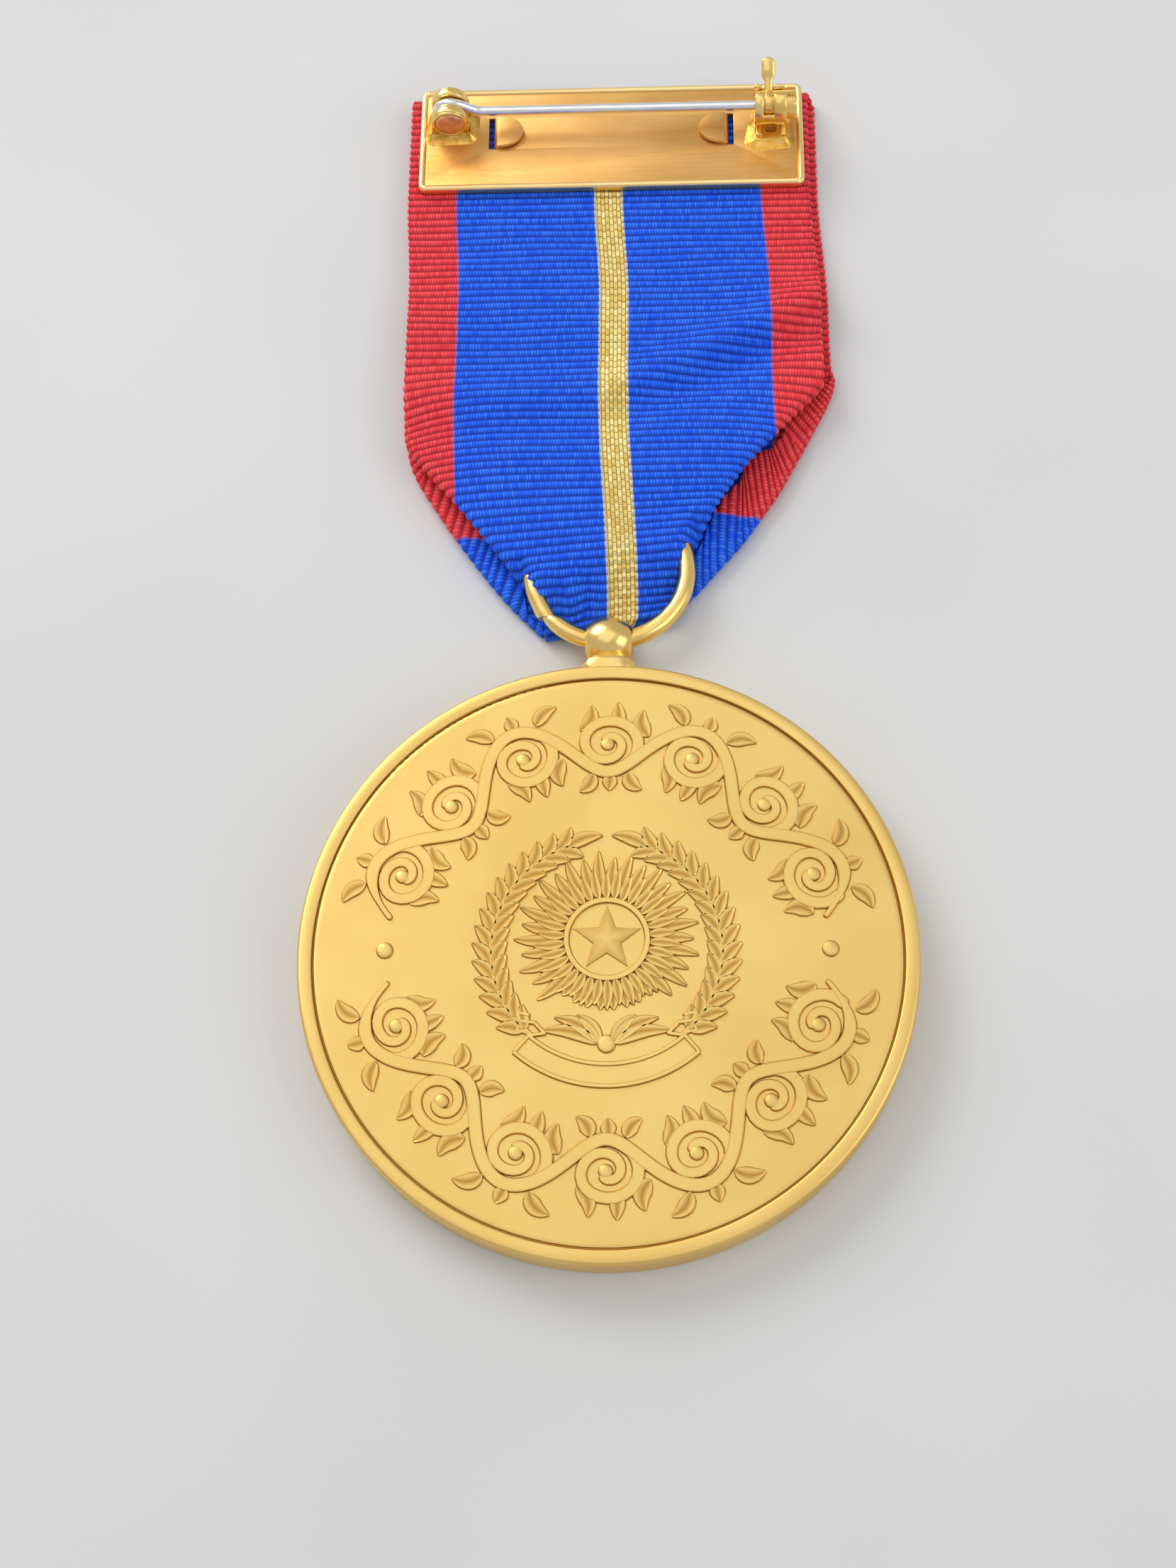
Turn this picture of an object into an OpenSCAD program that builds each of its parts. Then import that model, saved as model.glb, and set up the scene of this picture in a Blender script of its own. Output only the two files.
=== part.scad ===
// Service medal lying face down: a disc hung from a pin-back brooch by a ring and a folded ribbon.
// +X runs along the brooch, +Y points from the disc to the brooch, +Z is up, out of the medal's back.
// The surface that the medal lies on is z = 0.

/* [Disc] */
// Diameter of the disc
disc_d = 40; // [36:0.5:44]
// Thickness of the disc over its rims
disc_t = 3.2; // [3:0.1:4]
// Width of the raised rim
rim_w = 1.05; // [0.8:0.05:2]
// Depth of the field below the rim, on each face
field_depth = 0.25; // [0.1:0.05:0.5]
// Outer radius of the plain star in the middle of each face
star_r = 5; // [3:0.5:8]

/* [Suspension] */
// Diameter of the ball that carries the ring
ball_d = 3.4; // [3.2:0.1:3.6]
// Centreline radius of the suspension ring
ring_r = 5.4; // [5:0.1:6]
// Diameter of the ring's wire
ring_wire_d = 1.24; // [1:0.02:1.3]
// Distance from the disc's edge to the ball's centre
ball_rise = 2.4; // [2.2:0.1:2.8]

/* [Ribbon] */
// Width of the ribbon
ribbon_w = 31.4; // [29:0.2:33]
// Thickness of one layer of the ribbon
ribbon_t = 0.42; // [0.3:0.02:0.5]
// Width of the folded ribbon at its tip
tip_w = 9; // [8:0.5:12]
// Distance from the disc's centre to the ribbon's shoulders
shoulder_y = 42; // [40:0.5:46]

/* [Brooch] */
// Length of the back plate
plate_w = 29; // [26:0.5:30]
// Height of the back plate
plate_h = 9.2; // [8:0.1:10]
// Thickness of the back plate
plate_t = 0.55; // [0.4:0.05:0.8]
// Corner radius of the back plate
plate_corner = 0.6; // [0.3:0.1:1.2]
// Distance from the disc's centre to the plate's top edge
plate_top = 69; // [67:0.5:72]
// Distance of each tab slot from the middle
slot_x = 8.9; // [7:0.1:9]
// Length of each tab slot
slot_len = 2.9; // [2:0.1:3.2]

/* [Pin] */
// Diameter of the pin wire
pin_d = 0.7; // [0.6:0.02:0.74]
// Height of the pin's axis above the back plate
pin_rise = 1.65; // [1.6:0.05:1.9]
// Distance of the pin's hinge from the middle
hinge_x = 12.1; // [11.5:0.1:12.4]
// Radius of the pin's eye, measured to the middle of the wire
eye_r = 0.9; // [0.88:0.01:0.94]

/* [Catch] */
// Outer radius of the catch's housing
housing_r = 1.45; // [1.4:0.05:1.6]
// Radius of the bore in the housing
housing_bore_r = 1.08; // [1.06:0.01:1.12]
// Outer radius of the turning sleeve
sleeve_r = 1.02; // [0.98:0.01:1.03]
// Radius of the bore in the turning sleeve
sleeve_bore_r = 0.62; // [0.58:0.01:0.66]
// Reach of the lever from the sleeve's axis
lever_reach = 2.75; // [2.2:0.05:2.9]

/* [Hidden] */
$fn = 64;
eps = 0.01;

// The whole medal is centred on the origin along Y.
disc_y = (disc_d / 2 - plate_top) / 2;
function from_disc(d) = disc_y + d;

// Suspension
hang_z = ball_d / 2;
ball_y = from_disc(disc_d / 2 + ball_rise);
ring_y = ball_y + ring_r;
ball_sag = pow(ball_d / 2, 2) / (2 * ring_r);
ball_bore_r = ring_wire_d / 2 + ball_sag + 0.06;
foot_r = ball_d / 2 + 0.15;

// Brooch stack, from the surface up: ribbon, carrier bar, ribbon, back plate
stack_gap = 0.05;
bar_t = 0.6;
bar_z = ribbon_t + stack_gap;
near_z = bar_z + bar_t + stack_gap;
plate_z = near_z + ribbon_t + 0.03;
plate_back = plate_z + plate_t;
plate_y = from_disc(plate_top - plate_h / 2);
plate_low = plate_y - plate_h / 2;
bar_w = plate_w - 1;
bar_h = plate_h - 2.2;
bar_y = plate_y + 0.3;
slot_w = 0.44;
slot_y = plate_y + 0.5;
tab_t = 0.3;
tab_len = slot_len - 0.2;
tab_reach = 2.15;

// Ribbon: the upper hinge line lies just below the plate, the lower one just above the ring
flex_y = plate_low - 2.8;
flex_z = (near_z + ribbon_t) / 2;
flex_r = flex_z;
swing_y = ring_y + ring_r + ring_wire_d / 2 + 1.58;
swing_z = hang_z;
layer_gap = 0.08;
swing_r = ring_wire_d / 2 + layer_gap + ribbon_t;
joint_gap = 0.1;
swing_w = 24.8;
drop_low_w = 26.4;
lap_low = ball_y + 1;

// Pin and catch share one axis line
pin_y = plate_y + 1.3;
pin_z = plate_back + pin_rise;
neck_len = 2.5;
neck_w = 0.48;
neck_steps = 8;
stem_x = neck_len - 0.3 - hinge_x;
stem_tip = 13.3;
point_len = 1.6;
point_r = 0.1;
stem_len = stem_tip - point_len - stem_x;
eye_len = pin_d + 0.1;
ear_gap = 1.0;
ear_t = 0.6;
ear_r = 1.45;
rivet_r = 0.48;
rivet_clear = 0.03;
base_t = 0.35;
catch_x0 = 10.8;
lever_x = 11.85;
lever_w = 0.56;
lever_slot_w = 0.72;
housing_len = 2.4;
sleeve_len = 3.1;
mouth_half = 53;
sleeve_half = 48;
lever_angle = 32;
foot_t = 0.3;

// A wedge of the YZ plane from angle a to angle b about a point, l long in X from x.
module sector_x(x, l, r, a, b) {
    span = b - a;
    far = r / cos(span / 4);
    translate([x, 0, 0]) rotate([90, 0, 90]) linear_extrude(l)
        polygon([[0, 0], for (i = [0:2]) far * [cos(a + i * span / 2), sin(a + i * span / 2)]]);
}

// A tube along X whose wall is missing between the angles a and b, measured from +Y towards +Z.
module open_tube_x(x, l, r_out, r_in, a, b) {
    difference() {
        translate([x, 0, 0]) rotate([0, 90, 0]) cylinder(r = r_out, h = l);
        translate([x - eps, 0, 0]) rotate([0, 90, 0]) cylinder(r = r_in, h = l + 2 * eps);
        sector_x(x - eps, l + 2 * eps, 2 * r_out, a, (a + b) / 2);
        sector_x(x - eps, l + 2 * eps, 2 * r_out, (a + b) / 2, b);
    }
}

module rounded_plate(w, h, t, r) {
    linear_extrude(t) union() {
        square([w - 2 * r, h], center = true);
        square([w, h - 2 * r], center = true);
        for (sx = [-1, 1], sy = [-1, 1])
            translate([sx * (w / 2 - r), sy * (h / 2 - r)]) circle(r);
    }
}

module star(r, t) {
    linear_extrude(t)
        polygon([for (i = [0:9]) (i % 2 == 0 ? r : 0.382 * r) * [sin(36 * i), cos(36 * i)]]);
}

// ---- Brooch ----

module back_plate() {
    lip_w = 0.35;
    lip_h = 0.15;
    color("goldenrod") translate([0, plate_y, plate_z]) difference() {
        union() {
            rounded_plate(plate_w, plate_h, plate_t, plate_corner);
            difference() {
                rounded_plate(plate_w, plate_h, plate_t + lip_h, plate_corner);
                translate([0, 0, -eps])
                    rounded_plate(plate_w - 2 * lip_w, plate_h - 2 * lip_w, 2 * plate_t, plate_corner / 2);
            }
        }
        for (s = [-1, 1])
            translate([s * slot_x - slot_w / 2, slot_y - plate_y - slot_len / 2, -eps])
                cube([slot_w, slot_len, 2 * plate_t]);
    }
}

// The ribbon's inner bar, with a tab at each end that comes through the plate and is bent over it.
module carrier_bar() {
    tab_z = plate_back + 0.03;
    tab_r = tab_len / 2;
    color("darkgoldenrod") {
        translate([0, bar_y, bar_z]) rounded_plate(bar_w, bar_h, bar_t, plate_corner);
        for (s = [-1, 1]) {
            translate([s * slot_x - tab_t / 2, slot_y - tab_len / 2, bar_z + bar_t - eps])
                cube([tab_t, tab_len, tab_z + tab_t - bar_z - bar_t + eps]);
            translate([s * (slot_x + tab_t / 2), slot_y, tab_z]) mirror([s > 0 ? 1 : 0, 0, 0])
                linear_extrude(tab_t) union() {
                    translate([0, -tab_r]) square([tab_reach - tab_r, tab_len]);
                    translate([tab_reach - tab_r, 0]) intersection() {
                        circle(tab_r);
                        translate([-tab_r / 2, -tab_r]) square([2 * tab_r, tab_len]);
                    }
                }
        }
    }
}

module hinge_ear(y) {
    difference() {
        union() {
            translate([-hinge_x, y + ear_t, pin_z]) rotate([90, 0, 0]) cylinder(r = ear_r, h = ear_t);
            translate([-hinge_x - ear_r, y, plate_back]) cube([2 * ear_r, ear_t, pin_rise]);
        }
        translate([-hinge_x, y + ear_t + eps, pin_z]) rotate([90, 0, 0])
            cylinder(r = rivet_r + rivet_clear, h = ear_t + 2 * eps);
    }
}

module hinge_bracket() {
    color("goldenrod") {
        hinge_ear(pin_y - ear_gap / 2 - ear_t);
        hinge_ear(pin_y + ear_gap / 2);
        translate([-hinge_x - ear_r, pin_y - ear_gap / 2 - ear_t, plate_back])
            cube([2 * ear_r, ear_gap + 2 * ear_t, base_t]);
    }
}

module hinge_rivet() {
    span = ear_gap + 2 * ear_t;
    head_r = 1.0;
    head_t = 0.25;
    color("peru") translate([-hinge_x, pin_y + span / 2, pin_z]) rotate([90, 0, 0]) {
        translate([0, 0, -head_t]) cylinder(r = rivet_r, h = span + 2 * head_t);
        translate([0, 0, -head_t - eps]) cylinder(r = head_r, h = head_t);
        translate([0, 0, span + eps]) cylinder(r = head_r, h = head_t);
    }
}

// A low fillet of solder around the foot of the bracket.
module hinge_solder() {
    fillet_w = 0.45;
    fillet_h = 0.3;
    span = ear_gap + 2 * ear_t;
    clear = 0.02;
    color("khaki") translate([-hinge_x, pin_y, plate_back + clear]) difference() {
        rounded_plate(2 * (ear_r + fillet_w), span + 2 * fillet_w, fillet_h, fillet_w);
        translate([0, 0, -eps])
            rounded_plate(2 * (ear_r + clear), span + 2 * clear, 2 * fillet_h, eps);
    }
}

module catch_housing() {
    foot_w = 2.4;
    foot_len = 3.3;
    window = 0.7;
    foot_y = pin_y - 2.1;
    slot_from = 14;
    slot_to = 164;
    slot_half = (slot_to - slot_from) / 2;
    color("gold") union() {
        translate([0, pin_y, pin_z]) difference() {
            open_tube_x(catch_x0, housing_len, housing_r, housing_bore_r, 90 - mouth_half, 90 + mouth_half);
            for (a = [slot_from, slot_from + slot_half])
                sector_x(lever_x - lever_slot_w / 2, lever_slot_w, 2 * housing_r, a, a + slot_half);
        }
        difference() {
            translate([catch_x0 + 0.05, foot_y, plate_back]) cube([foot_w, foot_len, foot_t]);
            translate([lever_x + 0.2 - window / 2, foot_y + 0.7, plate_back - eps])
                cube([window, window, 2 * foot_t]);
            translate([0, pin_y, pin_z]) rotate([0, 90, 0]) cylinder(r = housing_bore_r, h = 20);
        }
    }
}

module catch_solder() {
    fillet_w = 0.4;
    fillet_h = 0.2;
    foot_w = 2.4;
    clear = 0.02;
    color("orange") translate([catch_x0 + 0.05 + foot_w / 2, pin_y - 2.1, plate_back + clear])
        intersection() {
            rounded_plate(foot_w + 2 * fillet_w, 2 * fillet_w, fillet_h, fillet_w / 2);
            translate([-5, -5 - clear, -eps]) cube([10, 5, 1]);
        }
}

// The turning sleeve of the catch and its lever, in the open position.
module catch_rotor() {
    neck_t = 0.34;
    head_r = 0.52;
    head_t = 0.5;
    color("gold") translate([0, pin_y, pin_z]) {
        open_tube_x(catch_x0 + 0.05, sleeve_len, sleeve_r, sleeve_bore_r,
                    90 - sleeve_half, 90 + sleeve_half);
        translate([lever_x, 0, 0]) rotate([lever_angle, 0, 0]) {
            translate([-lever_w / 2, sleeve_bore_r + 0.15, -neck_t / 2])
                cube([lever_w, lever_reach - sleeve_bore_r - 0.15, neck_t]);
            translate([0, lever_reach, -head_t / 2]) cylinder(r = head_r, h = head_t);
        }
    }
}

// The pin: an eye round the rivet, a neck in an easy double bend and a straight stem with a point.
module pin_stem() {
    r = pin_d / 2;
    neck = [for (i = [1:neck_steps]) let (t = i / neck_steps) [t * neck_len, eye_r * (1 + cos(180 * t)) / 2]];
    color("silver") translate([0, pin_y, 0]) {
        translate([-hinge_x, 0, pin_z]) {
            difference() {
                rotate([90, 0, 0]) cylinder(r = eye_r + r, h = eye_len, center = true);
                rotate([90, 0, 0]) cylinder(r = eye_r - r, h = 2 * eye_len, center = true);
            }
            rotate([90, 0, 0]) linear_extrude(neck_w, center = true)
                polygon([for (p = neck) p + [0, neck_w / 2],
                         for (i = [len(neck) - 1:-1:0]) neck[i] - [0, neck_w / 2]]);
        }
        translate([stem_x, 0, pin_z]) rotate([0, 90, 0]) rotate_extrude()
            polygon([[0, 0], [r, 0], [r, stem_len], [point_r, stem_len + point_len],
                     [0, stem_len + point_len]]);
    }
}

// ---- Ribbon ----

// The part of the ribbon that is wrapped round the inner bar, with a slit for each tab.
module ribbon_head() {
    top_y = bar_y + bar_h / 2 + stack_gap + ribbon_t;
    low_y = flex_y + flex_r + joint_gap;
    slit_w = tab_t + 0.1;
    color("mediumblue") difference() {
        translate([-ribbon_w / 2, low_y, 0]) cube([ribbon_w, top_y - low_y, near_z + ribbon_t]);
        translate([-ribbon_w, bar_y - bar_h / 2 - stack_gap, bar_z - stack_gap])
            cube([2 * ribbon_w, bar_h + 2 * stack_gap, bar_t + 2 * stack_gap]);
        for (s = [-1, 1])
            translate([s * slot_x - slit_w / 2, slot_y - tab_len / 2 - 0.05, near_z - 2 * stack_gap])
                cube([slit_w, tab_len + 0.1, ribbon_t + 3 * stack_gap]);
    }
}

// The free length of the doubled ribbon, from the plate to just above the ring.
module ribbon_drop() {
    low_y = swing_y + swing_r + joint_gap;
    shoulder = from_disc(shoulder_y);
    color("mediumblue") intersection() {
        linear_extrude(10, center = true)
            polygon([[-drop_low_w / 2, low_y], [drop_low_w / 2, low_y], [ribbon_w / 2, shoulder],
                     [ribbon_w / 2, flex_y + flex_r], [-ribbon_w / 2, flex_y + flex_r],
                     [-ribbon_w / 2, shoulder]]);
        translate([-ribbon_w / 2, 0, 0]) union() {
            translate([0, flex_y, flex_z]) rotate([0, 90, 0]) cylinder(r = flex_r, h = ribbon_w);
            rotate([90, 0, 90]) linear_extrude(ribbon_w)
                polygon([[low_y, swing_z - swing_r], [flex_y, flex_z - flex_r],
                         [flex_y, flex_z + flex_r], [low_y, swing_z + swing_r]]);
        }
    }
}

// The ribbon's fold through the ring: a layer on each side of the ring, joined inside it.
module ribbon_tip() {
    lap_w = 7.2;
    core_w = 7.6;
    notch_w = 4.6;
    color("mediumblue") union() {
        translate([-swing_w / 2, swing_y, swing_z]) rotate([0, 90, 0]) cylinder(r = swing_r, h = swing_w);
        translate([0, 0, swing_z - swing_r]) linear_extrude(ribbon_t) difference() {
            polygon([[-swing_w / 2, swing_y], [swing_w / 2, swing_y],
                     [tip_w / 2 + 2, ring_y - 1.6], [tip_w / 2, lap_low],
                     [-tip_w / 2, lap_low], [-tip_w / 2 - 2, ring_y - 1.6]]);
            translate([-notch_w / 2, lap_low - 1]) square([notch_w, 2.1]);
        }
        translate([0, 0, swing_z + swing_r - ribbon_t]) linear_extrude(ribbon_t)
            polygon([[-swing_w / 2, swing_y], [swing_w / 2, swing_y],
                     [lap_w, ring_y], [core_w / 2, ring_y - 2.4],
                     [-core_w / 2, ring_y - 2.4], [-lap_w, ring_y]]);
        translate([-core_w / 2, ring_y - 2.4, swing_z - swing_r])
            cube([core_w, 2, 2 * swing_r]);
    }
}

// ---- Medal ----

// The split ring: its joint is at the lower left.
module suspension_ring() {
    split_at = 221;
    split_deg = 2;
    color("gold") translate([0, ring_y, hang_z]) rotate([0, 0, split_at + split_deg / 2])
        rotate_extrude(angle = 360 - split_deg) translate([ring_r, 0]) circle(ring_wire_d / 2, $fn = 48);
}

// The ball is drilled crosswise for the ring and stands on a flared foot on the disc's edge.
module suspension_ball() {
    foot_y = from_disc(disc_d / 2);
    color("gold") translate([0, 0, hang_z]) difference() {
        union() {
            translate([0, ball_y, 0]) sphere(d = ball_d, $fn = 96);
            intersection() {
                translate([0, foot_y - 0.06, 0]) rotate([-90, 0, 0])
                    cylinder(r1 = foot_r, r2 = foot_r - 0.25, h = 1.0, $fn = 96);
                translate([-5, foot_y - 1, 0.05 - hang_z]) cube([10, 5, disc_t - 0.1]);
            }
        }
        translate([-5, ball_y, 0]) rotate([0, 90, 0]) cylinder(r = ball_bore_r, h = 10);
        translate([0, disc_y, -5]) cylinder(d = disc_d + 0.04, h = 10, $fn = 180);
    }
}

module medal_disc() {
    r = disc_d / 2;
    edge = 0.35;
    mid = disc_t / 2;
    groove_r = r - rim_w;
    groove = 0.12;
    half = [[0, 0], [0, mid - field_depth], [groove_r - groove, mid - field_depth],
            [groove_r, mid - field_depth - groove], [groove_r, mid], [r - edge, mid],
            [r - edge / 3, mid - edge / 3], [r, mid - edge], [r, 0]];
    color("gold") translate([0, disc_y, mid]) union() {
        for (s = [0, 1]) mirror([0, 0, s]) {
            rotate_extrude($fn = 180) polygon(half);
            translate([0, 0, mid - field_depth - eps]) star(star_r, field_depth);
        }
    }
}

back_plate();
carrier_bar();
hinge_bracket();
hinge_rivet();
hinge_solder();
pin_stem();
catch_housing();
catch_solder();
catch_rotor();
ribbon_head();
ribbon_drop();
ribbon_tip();
suspension_ring();
suspension_ball();
medal_disc();
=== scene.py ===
"""Looks of the service medal: metal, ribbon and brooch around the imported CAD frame.

Shapes are worked out in millimetres. A point is given as (x, d, z), where d is the distance from the
disc's centre along +Y, and mm() turns it into the row frame in metres.
"""

import math

import bmesh
import bpy
import numpy as np
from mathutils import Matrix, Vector


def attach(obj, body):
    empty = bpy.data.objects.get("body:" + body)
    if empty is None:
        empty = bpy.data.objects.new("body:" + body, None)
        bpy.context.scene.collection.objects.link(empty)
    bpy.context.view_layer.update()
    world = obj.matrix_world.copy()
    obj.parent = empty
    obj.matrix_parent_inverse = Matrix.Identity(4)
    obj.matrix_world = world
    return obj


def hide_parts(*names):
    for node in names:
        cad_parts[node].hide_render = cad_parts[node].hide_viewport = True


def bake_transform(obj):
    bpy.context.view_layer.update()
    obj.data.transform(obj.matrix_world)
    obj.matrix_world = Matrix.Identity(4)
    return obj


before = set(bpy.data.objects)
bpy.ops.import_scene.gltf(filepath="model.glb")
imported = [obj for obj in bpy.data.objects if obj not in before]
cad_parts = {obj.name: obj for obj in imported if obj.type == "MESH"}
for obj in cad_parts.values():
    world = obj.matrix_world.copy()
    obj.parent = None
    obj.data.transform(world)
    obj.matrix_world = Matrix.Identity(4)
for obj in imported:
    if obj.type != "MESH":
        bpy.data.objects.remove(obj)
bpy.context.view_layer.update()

MM = 0.001
DISC_Y = -24.5


def mm(points):
    p = np.array(points, float).reshape(-1, 3)
    p[:, 1] += DISC_Y
    return p * MM


def smoothstep(a, b, x):
    t = np.clip((np.asarray(x, float) - a) / (b - a), 0, 1)
    return t * t * (3 - 2 * t)


def smooth_line(d, stops, reach=0.7):
    """x on a soft-cornered line through (d, x) stops, for any d."""
    ds, xs = zip(*sorted(stops))
    return sum(np.interp(d + k * reach / 2, ds, xs) for k in (-2, -1, 0, 1, 2)) / 5


def unit(v):
    """Vectors made 1 long, along the last axis."""
    return v / (np.linalg.norm(v, axis=-1, keepdims=True) + 1e-12)


def polar(radius, angle, x=0.0, y=0.0):
    """Points at a radius and an angle round (x, y), with the two coordinates on the last axis."""
    return np.stack(np.broadcast_arrays(x + radius * np.cos(angle), y + radius * np.sin(angle)), -1)


def level(p, t):
    """Points (x, d) at the height t."""
    return np.column_stack([p, np.full(len(p), t)])


def upright(p, t):
    """Points (x, z) at the distance t from the disc's centre."""
    return np.column_stack([p[:, 0], np.full(len(p), t), p[:, 1]])


def squared(wave):
    """Cosines or sines bent so that the circle they draw becomes a rounded square."""
    return np.sign(wave) * np.abs(wave) ** 0.6


# ---- Meshes ----


def build(name, verts, faces, material, sharp, values):
    """A smooth-shaded object from points in mm, with an attribute for each entry of values."""
    mesh = bpy.data.meshes.new(name)
    mesh.from_pydata([tuple(v) for v in mm(verts)], [], faces)
    for key, value in values.items():
        data = np.asarray(value, np.float32).ravel()
        mesh.attributes.new(key, "FLOAT", "POINT").data.foreach_set("value", data)
    bm = bmesh.new()
    bm.from_mesh(mesh)
    bmesh.ops.recalc_face_normals(bm, faces=bm.faces)
    bm.to_mesh(mesh)
    bm.free()
    mesh.shade_smooth()
    mesh.set_sharp_from_angle(angle=math.radians(sharp))
    mesh.materials.append(material)
    obj = bpy.data.objects.new(name, mesh)
    bpy.context.scene.collection.objects.link(obj)
    return obj


class Shape:
    """Vertices and faces that grow piece by piece, with one value for each vertex."""

    def __init__(self):
        self.verts, self.faces, self.values = [], [], []

    def add(self, verts, faces, values=None):
        base = len(self.verts)
        self.verts.extend(map(tuple, verts))
        self.faces.extend([tuple(base + i for i in f) for f in faces])
        self.values.extend(values if values is not None else [0.0] * len(verts))

    def loft(self, loops, wrap=False, cap=True, flip=False, values=None):
        loops = np.asarray(loops, float)
        n, m = loops.shape[:2]
        faces = []
        for i in range(n if wrap else n - 1):
            a, b = i * m, (i + 1) % n * m
            for k in range(m):
                j = (k + 1) % m
                faces.append((a + k, a + j, b + j, b + k))
        if cap and not wrap:
            faces.append(tuple(range(m - 1, -1, -1)))
            faces.append(tuple(range((n - 1) * m, n * m)))
        if flip:
            faces = [f[::-1] for f in faces]
        self.add(loops.reshape(-1, 3), faces, values)

    def tube(self, path, radius, sides, up):
        path = np.asarray(path, float)
        radius = np.broadcast_to(radius, len(path))[:, None, None]
        tangent = unit(np.gradient(path, axis=0))
        side = unit(np.cross(tangent, up))
        top = np.cross(side, tangent)
        a = np.linspace(0, 2 * np.pi, sides, endpoint=False)[None, :, None]
        self.loft(path[:, None] + radius * np.cos(a) * side[:, None] + radius * np.sin(a) * top[:, None])

    def slab(self, outline, low, high, bevel, place=level):
        """A flat shape between two heights with rounded edges; place(p, t) gives the points in space."""
        nick = 0.3 * bevel
        steps = [(low, bevel), (low + nick, nick), (low + bevel, 0)]
        steps += [(high - bevel, 0), (high - nick, nick), (high, bevel)]
        self.loft([place(inset_outline(outline, inset), t) for t, inset in steps])

    def piece(self, name, material, body, slot, stands_for=(), sharp=50, value=None):
        obj = build(name, self.verts, self.faces, material, sharp, {value: self.values} if value else {})
        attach(obj, body)
        if stands_for:
            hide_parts(*stands_for)


def inset_outline(p, inset):
    before, after = unit(p - np.roll(p, 1, 0)), unit(np.roll(p, -1, 0) - p)
    t = unit(before + after)
    return p + inset * np.stack([-t[:, 1], t[:, 0]], 1)


def rounded_rect(w, h, r, n=6):
    """An outline round the origin, with n steps in each corner's arc."""
    turn = np.radians(90 * np.arange(n + 1) / n)
    corners = ((1, -1, -90), (1, 1, 0), (-1, 1, 90), (-1, -1, 180))
    return np.concatenate(
        [polar(r, math.radians(a) + turn, sx * (w / 2 - r), sy * (h / 2 - r)) for sx, sy, a in corners]
    )


def cut_sheet(shape, outlines, low, high, bevel):
    """A flat sheet between two heights with holes: the first outline is its border."""
    curve = bpy.data.curves.new("cut", "CURVE")
    curve.dimensions, curve.fill_mode = "2D", "BOTH"
    curve.extrude, curve.bevel_depth, curve.bevel_resolution = (high - low) / 2 - bevel, bevel, 2
    for o in outlines:
        spline = curve.splines.new("POLY")
        spline.points.add(len(o) - 1)
        for point, (x, y) in zip(spline.points, o):
            point.co = (x, y, 0, 1)
        spline.use_cyclic_u = True
    obj = bpy.data.objects.new("cut", curve)
    bpy.context.scene.collection.objects.link(obj)
    bpy.context.view_layer.update()
    mesh = bpy.data.meshes.new_from_object(obj.evaluated_get(bpy.context.evaluated_depsgraph_get()))
    bm = bmesh.new()
    bm.from_mesh(mesh)
    bmesh.ops.remove_doubles(bm, verts=bm.verts, dist=1e-4)
    bm.verts.index_update()
    middle = (low + high) / 2
    verts = [(v.co.x, v.co.y, v.co.z + middle) for v in bm.verts]
    shape.add(verts, [[v.index for v in f.verts] for f in bm.faces])
    bm.free()
    bpy.data.objects.remove(obj)
    bpy.data.curves.remove(curve)
    bpy.data.meshes.remove(mesh)


# ---- Materials ----


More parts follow.
